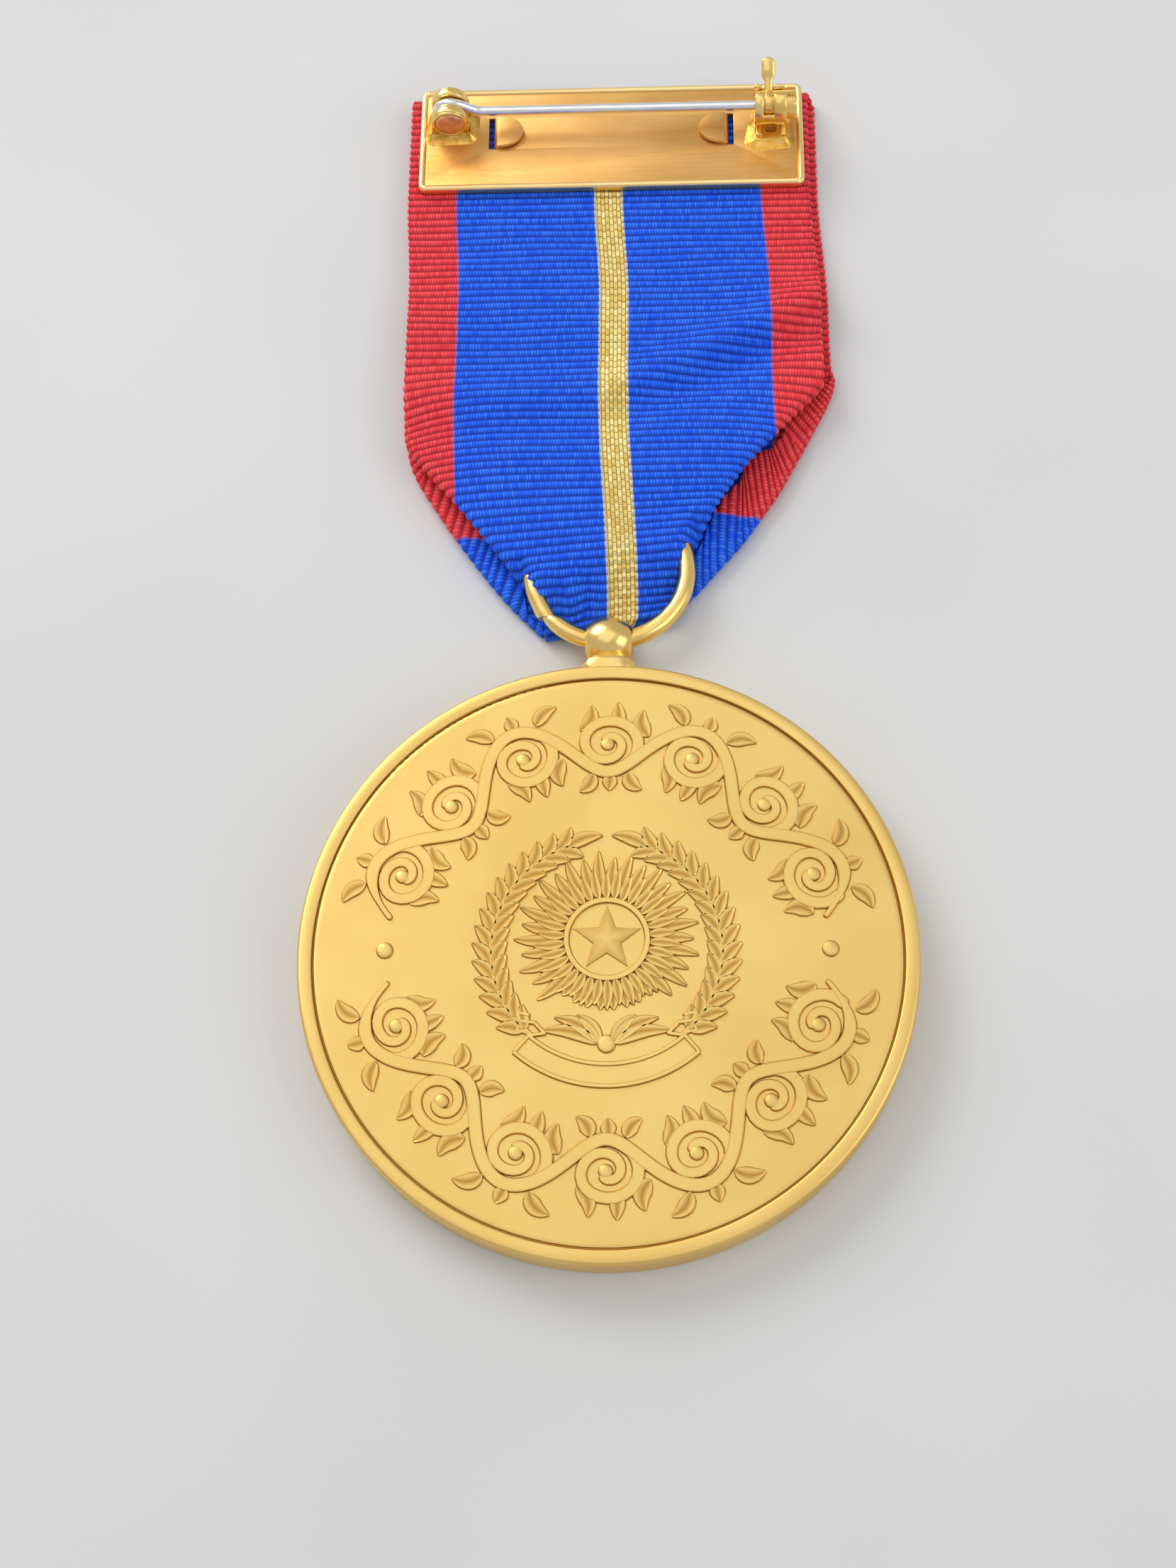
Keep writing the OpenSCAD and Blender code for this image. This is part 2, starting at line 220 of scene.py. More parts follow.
class Shader:
    """A material on one Principled BSDF, whose coordinates are the row frame in millimetres."""

    def __init__(self, name, metallic=1.0, **sockets):
        self.material = bpy.data.materials.new(name)
        self.material.use_nodes = True
        self.tree = self.material.node_tree
        self.bsdf = self.tree.nodes["Principled BSDF"]
        self.bsdf.inputs["Metallic"].default_value = metallic
        for key, value in sockets.items():
            self.bsdf.inputs[key.replace("_", " ")].default_value = value
        self.place = self.vector("MULTIPLY", self.node("TexCoord").outputs["Object"], (1000, 1000, 1000))

    def feed(self, socket, value):
        if isinstance(value, bpy.types.NodeSocket):
            self.tree.links.new(value, socket)
        else:
            socket.default_value = value

    def node(self, kind, inputs=(), **settings):
        made = self.tree.nodes.new("ShaderNode" + kind)
        for key, value in settings.items():
            setattr(made, key, value)
        for key, value in dict(inputs).items():
            self.feed(made.inputs[key], value)
        return made

    def vector(self, operation, a, b):
        return self.node("VectorMath", {0: a, 1: b}, operation=operation).outputs[0]

    def math(self, operation, a, b=0.0):
        return self.node("Math", {0: a, 1: b}, operation=operation).outputs[0]

    def times(self, a, b):
        return self.math("MULTIPLY", a, b)

    def join(self, x, y, z=0.0):
        return self.node("CombineXYZ", {"X": x, "Y": y, "Z": z}).outputs[0]

    def noise(self, size, detail=2.0, stretch=(1, 1, 1), place=None):
        """Noise whose lumps are about size mm across."""
        where = self.vector("DIVIDE", place or self.place, tuple(size * s for s in stretch))
        return self.node("TexNoise", {"Vector": where, "Scale": 1.0, "Detail": detail}).outputs["Fac"]

    def ramp(self, value, stops):
        made = self.node("ValToRGB", {"Fac": value})
        points = made.color_ramp.elements
        while len(points) < len(stops):
            points.new(0.5)
        for point, (at, color) in zip(points, stops):
            point.position, point.color = at, (*color, 1)
        return made.outputs["Color"]

    def mix(self, share, a, b, blend="MIX"):
        made = self.node("Mix", data_type="RGBA", blend_type=blend)
        self.feed(made.inputs[0], share)
        for socket, value in ((made.inputs[6], a), (made.inputs[7], b)):
            self.feed(socket, (*value, 1) if isinstance(value, tuple) else value)
        return made.outputs[2]

    def between(self, value, low, high, a=0.0, b=1.0):
        inputs = {"Value": value, "From Min": low, "From Max": high, "To Min": a, "To Max": b}
        return self.node("MapRange", inputs).outputs[0]

    def attribute(self, name):
        return self.node("Attribute", attribute_name=name).outputs["Fac"]

    def near(self, point, radius):
        """1 at a point (x, d, z), falling to 0 at the radius."""
        at = (point[0], point[1] + DISC_Y, point[2])
        away = self.node("VectorMath", {0: self.place, 1: at}, operation="DISTANCE").outputs["Value"]
        return self.between(away, radius, 0.0)

    def bump(self, height, depth, normal=None):
        """depth is the height in mm that a value of 1 stands up."""
        made = self.node("Bump", {"Height": height, "Distance": depth * MM, "Strength": 1.0})
        if normal:
            self.feed(made.inputs["Normal"], normal)
        return made.outputs["Normal"]

    def finish(self, color, roughness, normal=None):
        for key, value in (("Base Color", color), ("Roughness", roughness), ("Normal", normal)):
            if value is not None:
                self.feed(self.bsdf.inputs[key], value)
        return self.material


def gold_satin():
    """The disc's sand-blasted faces, darkened by painted shade on the walls of the relief and in the groove.
    """
    s = Shader("satin_gilt")
    color = s.ramp(s.noise(9, 3), [(0.3, (0.80, 0.525, 0.155)), (0.7, (0.88, 0.615, 0.205))])
    # Painted shade: the wall attribute turns the colour deep orange on the relief's walls and in the grooves.
    color = s.mix(s.attribute("wall"), color, (0.44, 0.205, 0.03))
    smudge = s.noise(2.6, 4, (1, 1.7, 1))
    rough = s.between(smudge, 0.35, 0.75, 0.40, 0.47)
    scratch = s.between(s.noise(0.35, 1, (7, 0.45, 1)), 0.70, 0.78)
    rough = s.math("SUBTRACT", rough, s.times(scratch, 0.06))
    normal = s.bump(s.noise(0.14, 2), 0.0045)
    normal = s.bump(s.noise(1.4, 2), 0.002, normal)
    return s.finish(color, rough, normal)


def gold_polished():
    s = Shader("polished_gilt")
    color = s.ramp(s.noise(1.8, 3), [(0.35, (0.92, 0.60, 0.17)), (0.7, (0.98, 0.72, 0.27))])
    rough = s.between(s.noise(0.8, 4), 0.3, 0.8, 0.19, 0.33)
    normal = s.bump(s.noise(0.12, 2, (4, 1, 1)), 0.0011)
    normal = s.bump(s.noise(0.8, 2), 0.004, normal)
    return s.finish(color, rough, normal)


def gold_brushed():
    """Brushed along X, stained by heat round both solder joints, and with a painted highlight on the plate's
    lip.
    """
    s = Shader("brushed_gilt")
    tone = s.noise(3.4, 4, (2.2, 1, 1))
    color = s.ramp(tone, [(0.3, (0.70, 0.375, 0.11)), (0.72, (0.86, 0.51, 0.175))])
    stain = s.math("MAXIMUM", s.near((-11.9, 62.8, 2.1), 3.6), s.near((12.0, 61.8, 2.1), 3.8))
    stain = s.times(stain, s.between(s.noise(0.9, 4), 0.30, 0.62))
    color = s.mix(stain, color, (0.82, 0.38, 0.07))
    lip = s.attribute("lip")
    # Painted highlight: the lip's rounded edge is coloured lighter, as if it caught the lamps.
    color = s.mix(lip, color, (1.0, 0.74, 0.33))
    streak = s.noise(0.09, 3, (45, 1, 1))
    rough = s.between(streak, 0.3, 0.7, 0.36, 0.52)
    rough = s.math("SUBTRACT", rough, s.times(lip, 0.08))
    normal = s.bump(streak, 0.006)
    normal = s.bump(s.noise(1.6, 2), 0.008, normal)
    return s.finish(color, rough, normal)


def steel():
    s = Shader("pin_steel")
    streak = s.noise(0.05, 2, (30, 1, 1))
    color = s.ramp(streak, [(0.3, (0.80, 0.79, 0.79)), (0.7, (0.98, 0.97, 0.96))])
    return s.finish(color, s.between(streak, 0.3, 0.7, 0.14, 0.26), s.bump(streak, 0.003))


def spotted(name, size, tones, smooth, rough, depth):
    """Metal in three tones of spots that are also its dents."""
    s = Shader(name)
    spots = s.noise(size, 4)
    color = s.ramp(spots, list(zip((0.3, 0.5, 0.75), tones)))
    return s.finish(color, s.between(spots, 0.3, 0.7, smooth, rough), s.bump(spots, depth))


def copper():
    tones = (0.70, 0.31, 0.16), (0.88, 0.45, 0.24), (0.97, 0.60, 0.33)
    return spotted("copper", 0.45, tones, 0.30, 0.48, 0.03)


def solder():
    tones = (0.60, 0.27, 0.04), (0.80, 0.43, 0.08), (0.90, 0.60, 0.20)
    return spotted("solder", 0.7, tones, 0.18, 0.36, 0.05)


RIB, THREAD = 0.6, 0.21
BLUE, RED, PALE = (0.002, 0.078, 0.90), (0.86, 0.024, 0.045), (0.36, 0.12, 0.55)


def ribbon_weave():
    """Ribbed cloth, patterned by each point's place across and along the strip in mm, with painted shade in
    the rib valleys and painted highlights on the rib crests.
    """
    s = Shader("ribbon_weave", 0.0, Sheen_Weight=0.06, Sheen_Roughness=0.4, Specular_IOR_Level=0.22)
    across, along = s.attribute("rib_u"), s.attribute("rib_v")
    flat = s.join(across, along)
    aside = s.math("ABSOLUTE", across)
    # Bands of colour from the middle outwards: their borders waver from thread to thread.
    widest, blur = 16.0, 0.015
    wander = s.times(s.math("SUBTRACT", s.noise(0.35, 2, place=flat), 0.5), 0.12)
    lane = s.math("DIVIDE", s.math("ABSOLUTE", s.math("ADD", across, wander)), widest)
    tones = [(0.62, 0.43, 0.10), (0.80, 0.72, 0.52), BLUE, PALE, RED]
    stops = []
    for at, inner, outer in zip((0.94, 1.08, 11.38, 11.50), tones, tones[1:]):
        stops += [((at - blur) / widest, inner), ((at + blur) / widest, outer)]
    color = s.ramp(lane, stops)
    # Painted highlight: one bright dash over each rib where a warp thread crests, each with its own random
    # strength.
    rib_at = s.math("DIVIDE", along, RIB)
    rib_no = s.math("FLOOR", rib_at)
    stagger = s.times(s.math("MODULO", rib_no, 2.0), 0.5)
    thread_at = s.math("ADD", s.math("DIVIDE", across, THREAD), stagger)
    dash = {"Vector": s.join(s.math("FLOOR", thread_at), rib_no)}
    tone = s.node("TexWhiteNoise", dash, noise_dimensions="2D").outputs["Value"]
    thread, crest = (s.math("SINE", s.times(s.math("FRACT", at), math.pi)) for at in (thread_at, rib_at))
    light = s.times(s.times(thread, crest), s.between(tone, 0.0, 1.0, 0.15, 1.0))
    # Painted shade: each rib's valley is darkened by multiplying the colour.
    painted_valley_shade = s.between(crest, 0.12, 0.97, 0.42, 1.0)
    color = s.mix(1.0, color, s.join(painted_valley_shade, painted_valley_shade, painted_valley_shade), "MULTIPLY")
    # Painted highlight colour: a brighter blue, and a brighter red over the red margins.
    bright = s.mix(0.8, color, (0.07, 0.36, 1.0))
    bright = s.mix(s.between(aside, 11.4, 11.5), bright, (1.0, 0.16, 0.15))
    cloth = s.mix(s.times(light, 0.72), color, bright)
    # The gold stripe: flat metal threads laid like bricks.
    laid = {"Vector": s.join(along, across), "Scale": 1.0, "Brick Width": 0.6, "Row Height": 0.29}
    laid |= {"Mortar Size": 0.03, "Mortar Smooth": 0.7, "Mortar": (0.34, 0.21, 0.04, 1)}
    laid |= {"Color1": (1.0, 0.87, 0.38, 1), "Color2": (0.82, 0.57, 0.13, 1)}
    brick = s.node("TexBrick", laid, offset=0.5, offset_frequency=2)
    stripe = s.between(aside, 0.92, 0.98, 1.0, 0.0)
    color = s.mix(stripe, cloth, brick.outputs["Color"])
    s.feed(s.bsdf.inputs["Metallic"], s.times(stripe, 0.7))
    rough = s.between(stripe, 0.0, 1.0, 0.62, 0.34)
    normal = s.bump(s.times(thread, s.between(stripe, 0.0, 1.0, 1.0, 0.0)), 0.035)
    normal = s.bump(s.times(brick.outputs["Fac"], stripe), -0.05, normal)
    normal = s.bump(s.noise(0.07, 1, place=flat), 0.012, normal)
    return s.finish(color, rough, normal)


SATIN, POLISHED, BRUSHED = gold_satin(), gold_polished(), gold_brushed()
STEEL, COPPER, SOLDER, WEAVE = steel(), copper(), solder(), ribbon_weave()

# ---- Disc ----

DISC_R, DISC_T, FIELD = 20.0, 3.2, 3.02


def disc_body():
    """Both faces and the edge, turned about the middle, with tool marks in the reverse's groove."""
    mid = DISC_T / 2
    half = [
        (0.6, FIELD), (6, FIELD), (12, FIELD), (17, FIELD), (18.6, FIELD), (18.86, FIELD),
        (18.88, FIELD - 0.01), (18.91, FIELD - 0.08), (18.94, FIELD - 0.09), (18.99, FIELD - 0.085),
        (19.02, FIELD), (19.05, 3.13), (19.08, 3.155), (19.14, 3.17),
        (19.45, 3.2), (19.78, 3.185), (19.88, 3.15), (19.95, 3.08), (19.985, 3.0), (20.0, 2.88), (20.0, 2.2),
    ]
    profile = half + [(20.0, mid)] + [(r, DISC_T - z) for r, z in reversed(half)]
    angles = np.radians(np.arange(0, 360, 0.75))
    loops, values = [], []
    for k, (r, z) in enumerate(profile):
        lift = np.zeros(len(angles))
        if 7 <= k <= 9:
            marks = (np.degrees(angles) > 103) & (np.degrees(angles) < 141)
            lift = np.where(marks, 0.09 * (np.sin(angles * 210) > 0), 0)
        loops.append(np.stack([r * np.cos(angles), r * np.sin(angles), z + lift], 1))
        # Painted shade: the profile's points in the groove, on both faces, get a wall value of 1.
        groove = 1.0 if 7 <= min(k, len(profile) - 1 - k) <= 10 else 0.0
        values += [groove] * len(angles)
    shape = Shape()
    shape.loft(loops, flip=True, values=values)
    shape.piece("medal_disc_body", SATIN, "medal", "satin_gilt", ["medal_disc"], sharp=35, value="wall")


class Relief:
    """Struck ornament: flat-topped strokes that stand on a face of the disc."""

    def __init__(self, obverse=False):
        self.shape, self.obverse = Shape(), obverse
        self.wall = 0.10

    def put(self, points):
        p = np.array(points, float)
        if self.obverse:
            p[..., 2] = DISC_T - p[..., 2]
        return p

    def stroke(self, line, half, height=0.15, crown=0.0, round_ends=True, groove=False):
        """line is the middle of the stroke in (x, y); half is its half width along the line."""
        line = np.asarray(line, float)
        half = np.broadcast_to(half, len(line)).astype(float)
        t = unit(np.gradient(line, axis=0))
        side = np.stack([-t[:, 1], t[:, 0]], 1)
        sections = [(line[k], t[k], side[k], half[k], 0.0) for k in range(len(line))]
        if round_ends:
            caps = np.radians([78, 52, 26])
            first = [(line[0], t[0], side[0], half[0], -a) for a in caps]
            last = [(line[-1], t[-1], side[-1], half[-1], a) for a in caps[::-1]]
            sections = first + sections + last
        crest = -0.035 if groove else crown
        shoulder = height + 0.4 * crown
        # The share of the half width, what is added to it, the height over the field, and the painted shade
        # (darkest at the foot of the wall and in a leaf's midrib groove).
        columns = [
            (-1, self.wall, -0.05, 1.0), (-1, 0, height, 0.55), (-0.72, -0.01, shoulder, 0.0),
            (0, 0, height + crest, 0.9 if groove else 0.0),
            (0.72, 0.01, shoulder, 0.0), (1, 0, height, 0.55), (1, self.wall, -0.05, 1.0),
        ]
        loops, values = [], []
        for at, along, across, w, a in sections:
            row = []
            for share, extra, z, wall in columns:
                reach = share * w + math.copysign(extra, share) * (extra > 0)
                slide = abs(reach) * math.sin(a)
                row.append((*(at + across * reach * math.cos(a) + along * slide), FIELD + z))
                values.append(wall)
            loops.append(row)
        self.shape.loft(self.put(loops), flip=self.obverse, values=values)

    def dot(self, x, y, r, height=0.12, dome=0.06):
        """A small round boss."""
        angles = np.linspace(0, 2 * np.pi, 20, endpoint=False)
        loops, values = [], []
        # The last value is painted shade, darkest at the foot of the boss's wall.
        rows = [(r + self.wall, -0.05, 1.0), (r, height, 0.55)]
        rows += [(0.7 * r, height + 0.7 * dome, 0.0), (0.25 * r, height + dome, 0.0)]
        for radius, z, wall in rows:
            loops.append(level(polar(radius, angles, x, y), FIELD + z))
            values += [wall] * len(angles)
        self.shape.loft(self.put(loops), flip=self.obverse, values=values)

    def leaf(self, base, tip, width, bend=0.0, height=0.15, groove=True):
        """A pointed leaf with a sunk midrib, bent sideways by a share of its length."""
        base, tip = np.array(base, float), np.array(tip, float)
        run = tip - base
        side = np.array([-run[1], run[0]])
        s = np.linspace(0, 1, 11)
        line = base + s[:, None] * run + (bend * np.sin(np.pi * s))[:, None] * side
        half = width * np.sin(np.pi * s**0.8) ** 0.8 + 0.02
        self.stroke(line, half, height, round_ends=False, groove=groove)

    def star(self, x, y, r, height):
        """A five-pointed star whose arms rise to ridges and a peak."""
        angles = np.radians(90 + 36 * np.arange(10))
        reach = np.tile([r, 0.40 * r], 5)
        loops, values = [], []
        # The last value is painted shade on the star's walls.
        for grow, z, wall in ((self.wall, -0.05, 1.0), (0.0, 0.09, 0.5)):
            loops.append(level(polar(reach + grow, angles, x, y), FIELD + z))
            values += [wall] * 10
        base = len(self.shape.verts)
        self.shape.loft(self.put(loops), cap=False, flip=self.obverse, values=values)
        peak = self.put([(x, y, FIELD + height + 0.06)])
        self.shape.add(peak, [], [0.0])
        top, n = base + 10, base + 20
        for k in range(10):
            f = (top + k, top + (k + 1) % 10, n)
            self.shape.faces.append(f[::-1] if self.obverse else f)
        self.shape.faces.append(tuple(range(base, base + 10)))

    def scroll(self, start, stop, waves, middle, amplitude, weight):
        """A scrolling stem along an arc, with a spiral and leaves in each of its waves."""

        def at(a, b, centre):
            angle = math.radians(centre) + a / middle
            return ((middle + b) * math.cos(angle), (middle + b) * math.sin(angle))

        sweep = stop - start
        way = 1 if sweep > 0 else -1
        wave = abs(math.radians(sweep)) * middle / waves
        s = np.linspace(0, waves, waves * 22 + 1)
        ripple = amplitude * np.sin(np.pi * s)
        angle = np.radians(start) + way * s * wave / middle
        radius = middle + ripple
        stem = polar(radius, angle)
        ends = np.clip(np.minimum(s, waves - s) * 2.5, 0.35, 1)
        self.stroke(stem, weight * ends)
        for k in range(waves):
            centre = start + sweep * (k + 0.5) / waves
            out = 1 if k % 2 == 0 else -1
            turn = np.linspace(0, 1, 34)
            size = (0.37 * wave) * (1 - turn) ** 0.85 + 0.44 * turn
            curl = math.radians(33) - math.radians(500) * turn
            coil = zip(way * size * np.cos(curl), out * 0.92 * size * np.sin(curl))
            spiral = [at(a, b, centre) for a, b in coil]
            self.stroke(spiral, weight * (0.95 - 0.3 * turn), 0.137)
            self.dot(*at(0, 0, centre), 0.42)
            for a0, b0, a1, b1, w, bend in (
                (-0.20, 1.04, -0.42, 1.62, 0.30, 0.16), (0.04, 1.10, 0.02, 1.66, 0.28, 0.0),
                (0.26, 1.00, 0.50, 1.52, 0.30, -0.16), (0.46, -0.38, 0.36, -1.30, 0.34, 0.2),
                (-0.30, -0.55, -0.16, -1.42, 0.30, -0.2), (0.12, -0.60, 0.10, -1.50, 0.28, 0.0),
            ):
                p = at(way * a0 * wave, out * b0 * amplitude, centre)
                q = at(way * a1 * wave, out * b1 * amplitude, centre)
                self.leaf(p, q, 1.6 * w, bend * way * out, 0.125)

    def wreath(self, radius, pairs, length, width, low=-78, high=69, weight=0.16):
        """Two laurel branches that rise from the bottom and almost meet at the top."""
        for mirror in (1, -1):
            angles = np.radians(np.linspace(low, high, 60))
            stem = polar(radius, angles) * (mirror, 1)
            self.stroke(stem, weight, 0.12)
            for k in range(pairs):
                a = math.radians(low + (high - low) * (k + 0.4) / pairs)
                root = polar(radius, a)
                along = np.array([-math.sin(a), math.cos(a)])
                out = root / radius
                for lean, reach in ((0.95, 1.0), (-0.95, 0.92)):
                    q = root + length * reach * (along * math.cos(lean * 0.72) + out * math.sin(lean * 0.72))
                    p = root + 0.12 * out * np.sign(lean)
                    m = np.array([mirror, 1])
                    self.leaf(p * m, q * m, width, 0.10 * mirror * np.sign(lean))
            top = math.radians(high)
            p = np.array([mirror * radius * math.cos(top), radius * math.sin(top)])
            q = np.array([mirror * 0.3, radius * 1.05])
            self.leaf(p, q, 1.05 * width, -0.10 * mirror)

    def rays(self, inner, outer, count):
        """Tapering rays round the middle of the face, in four lengths by turns."""
        for k in range(count):
            a = 2 * math.pi * (k + 0.5) / count
            reach = outer * (1.0, 0.80, 0.90, 0.74)[k % 4]
            s = np.linspace(0, 1, 6)
            half = 0.85 * math.pi * inner / count * (1 - 0.15 * s) * (1.25 - s) ** 0.5
            self.stroke(polar(inner + s * (reach - inner), a), half, 0.10, crown=0.05, round_ends=False)


def banner(r, radius, low, high, half):
    """A plain curved banner with raised borders and folded tails."""
    band = np.radians(np.linspace(low, high, 44))
    arc = polar(1.0, band)
    r.stroke(radius * arc, half, 0.06, round_ends=False)
    for offset in (-half, half):
        r.stroke((radius + offset) * arc, 0.10, 0.165, round_ends=False)
    for m in (1, -1):
        across = polar(1.0, math.radians(high)) * (m, 1)
        end = radius * across
        r.stroke([end - half * across, end + half * across], 0.10, 0.16, round_ends=False)
        inner = end - half * across
        tail = ((0.0, 0.0), (-1.0, 0.15), (-0.35, 0.85), (0.55, 0.95), (0.75, 1.5), (0.05, 1.35))
        fold = [inner + (m * x, y) for x, y in tail]
        for k in range(5):
            r.stroke([fold[k], fold[k + 1]], 0.09, 0.15 + 0.004 * k)
        r.stroke([fold[3], inner + (m * 0.75, 0.35), inner + (m * 0.15, 0.2)], 0.08, 0.14)


def reverse_relief():
    """The side that lies up: scrolls, a laurel wreath, a rayed star and a banner."""
    r = Relief()
    r.scroll(171, 9, 7, 14.25, 2.0, 0.40)
    r.scroll(189, 351, 7, 14.25, 2.0, 0.40)
    for x in (14.3, -14.3):
        r.dot(x, 0, 0.5)
    r.wreath(7.4, 15, 1.85, 0.42, low=-49)
    for tier, (low, high, width, height) in enumerate(((3.4, 6.0, 0.33, 0.10), (2.7, 4.8, 0.30, 0.13))):
        for k in range(34):
            a = 2 * math.pi * (k + 0.5 * tier) / 34
            tip = high * (1.0 if k % 2 else 0.93)
            if 228 < math.degrees(a) < 312:
                tip = min(tip, 4.7)
            r.leaf(polar(low, a, y=0.7), polar(tip, a, y=0.7), width, 0.04, height + 0.0007 * k)
    ring = np.radians(np.linspace(0, 360, 72))
    r.stroke(polar(2.62, ring, y=0.7), 0.15, 0.165, round_ends=False)
    r.star(0, 0.7, 2.25, 0.11)
    banner(r, 8.2, -131, -49, 0.7)
    sprig = (((4.1, -5.35), 0.42, 0.1), ((3.3, -4.5), 0.44, 0.12), ((1.9, -4.35), 0.40, 0.12))
    for m in (1, -1):
        for tip, width, bend in sprig:
            r.leaf((m * 0.45, -6.2), (m * tip[0], tip[1]), width, bend * m, 0.15)
    r.dot(0, -6.2, 0.55, 0.14, 0.05)
    r.shape.piece("reverse_ornament", SATIN, "medal", "satin_gilt", ["medal_disc"], sharp=24, value="wall")


def obverse_relief():
    """The hidden side, made up: a laurel wreath and a rayed star."""
    r = Relief(obverse=True)
    r.wreath(14.6, 22, 2.5, 0.55, low=-80, high=76, weight=0.28)
    r.rays(6.45, 10.8, 48)
    ring = np.radians(np.linspace(0, 360, 110))
    r.stroke(polar(6.2, ring), 0.2, 0.165, round_ends=False)
    r.star(0, 0, 5.3, 0.10)
    for m in (1, -1):
        r.leaf((m * 0.4, -14.4), (m * 3.6, -12.4), 0.6, 0.15 * m)
        r.leaf((m * 0.4, -14.6), (m * 3.6, -16.6), 0.6, -0.15 * m)
    r.dot(0, -14.5, 0.8, 0.12, 0.04)
    r.shape.piece("obverse_ornament", SATIN, "medal", "satin_gilt", sharp=24, value="wall")


# ---- Suspension ----

BALL_D, RING_D, HANG_Z = 22.4, 27.8, 1.7
RING_R, WIRE_R = 5.4, 0.62


def ball():
    """The drilled ball and its flared foot on the disc's edge."""
    shape = Shape()
    radius, bore, wide = 1.7, 0.95, 1.15
    lip = math.asin((bore + 0.07) / radius)
    arc = np.linspace(lip, math.pi - lip, 36)
    x0 = wide * radius * math.cos(math.asin(bore / radius))
    profile = [(wide * radius * math.cos(a), radius * math.sin(a)) for a in arc]
    profile += [(-x0 + 0.03, bore), (-0.7, bore), (0, bore), (0.7, bore), (x0 - 0.03, bore)]
    angles = np.radians(np.arange(0, 360, 4))
    along, out = np.array(profile).T
    turned = [np.column_stack([along, polar(out, a, BALL_D, HANG_Z)]) for a in angles]
    shape.loft(turned, wrap=True, flip=True)
    foot = [(0.9, 21.6), (1.1, 21.3), (1.24, 21.1), (1.34, 20.95), (1.50, 20.8), (1.68, 20.66),
            (1.82, 20.52), (1.89, 20.36), (1.90, 20.15), (1.88, 19.95), (1.6, 19.6)]
    loops = []
    across, tall, uneven = squared(np.cos(angles)), squared(np.sin(angles)), 0.02 * np.sin(5 * angles)
    for r, d in foot:
        deep = min(0.92 * r, 1.52)
        loops.append(np.column_stack([r * across, d - uneven, HANG_Z - 0.1 + deep * tall]))
    shape.loft(loops)
    shape.piece("suspension_ball_polished", POLISHED, "medal", "polished_gilt", ["suspension_ball"], sharp=50)


def ring():
    """A round wire ring; its cut ends meet askew at the lower left."""
    shape = Shape()
    turn = np.linspace(0, 1, 220)
    cut = math.radians(221)
    section = np.linspace(0, 2 * np.pi, 28, endpoint=False)
    loops = []
    for t in turn:
        end = max(0.0, 1 - min(t, 1 - t) / 0.035)
        aside = (0.20 if t > 0.5 else -0.06) * end**1.5
        thin = 1 - 0.22 * end**3
        row = []
        for a in section:
            out = WIRE_R * thin * math.cos(a)
            slant = -0.085 * out / WIRE_R * end
            angle = cut + math.radians(0.9) + t * (2 * math.pi - math.radians(1.8)) + slant
            x, d = polar(RING_R + aside + out, angle, 0.0, RING_D)
            row.append((x, d, HANG_Z + WIRE_R * thin * math.sin(a)))
        loops.append(row)
    loops = np.array(loops)
    first, last = (0.86 * end + 0.14 * end.mean(axis=0) for end in loops[[0, -1]])
    shape.loft([first, *loops, last])
    shape.piece("suspension_ring_wire", POLISHED, "ring", "polished_gilt", ["suspension_ring"], sharp=40)


# ---- Brooch ----

PLATE_LOW, PLATE_Z, PLATE_BACK, PLATE_D = 59.8, 1.57, 2.12, 64.4
PIN_D, PIN_Z, HINGE_X = 65.7, 3.77, -12.1


def back_plate():
    """The plate with its two slots, and the raised lip round its edge."""
    shape = Shape()
    slot = rounded_rect(0.62, 2.9, 0.1, 3)
    holes = [slot + (s * 8.98, PLATE_D + 0.5) for s in (1, -1)]
    cut_sheet(shape, [rounded_rect(28.8, 9.0, 0.5) + (0, PLATE_D), *holes], PLATE_Z, PLATE_BACK, 0.03)
    lip = [(0.05, 1.60), (0.0, 1.66), (0.0, 2.08), (0.04, 2.19), (0.13, 2.26),
           (0.24, 2.285), (0.35, 2.27), (0.43, 2.21), (0.50, 2.11), (0.50, 1.75)]
    border = rounded_rect(29, 9.2, 0.6, 10) + (0, PLATE_D)
    wobble = 0.012 * np.sin(np.arange(len(border)) * 1.7)
    loops = [np.column_stack([inset_outline(border, o), z + wobble * (z > 2.15)]) for o, z in lip]
    loops = np.swapaxes(np.array(loops), 0, 1)
    # The lip values mark the rounded edge where brushed_gilt paints a highlight.
    shape.loft(loops, wrap=True, values=[1.0 if 2 <= k <= 7 else 0.0 for k in range(len(lip))] * len(border))
    shape.piece("back_plate_brushed", BRUSHED, "brooch", "brushed_gilt", ["back_plate"], value="lip")


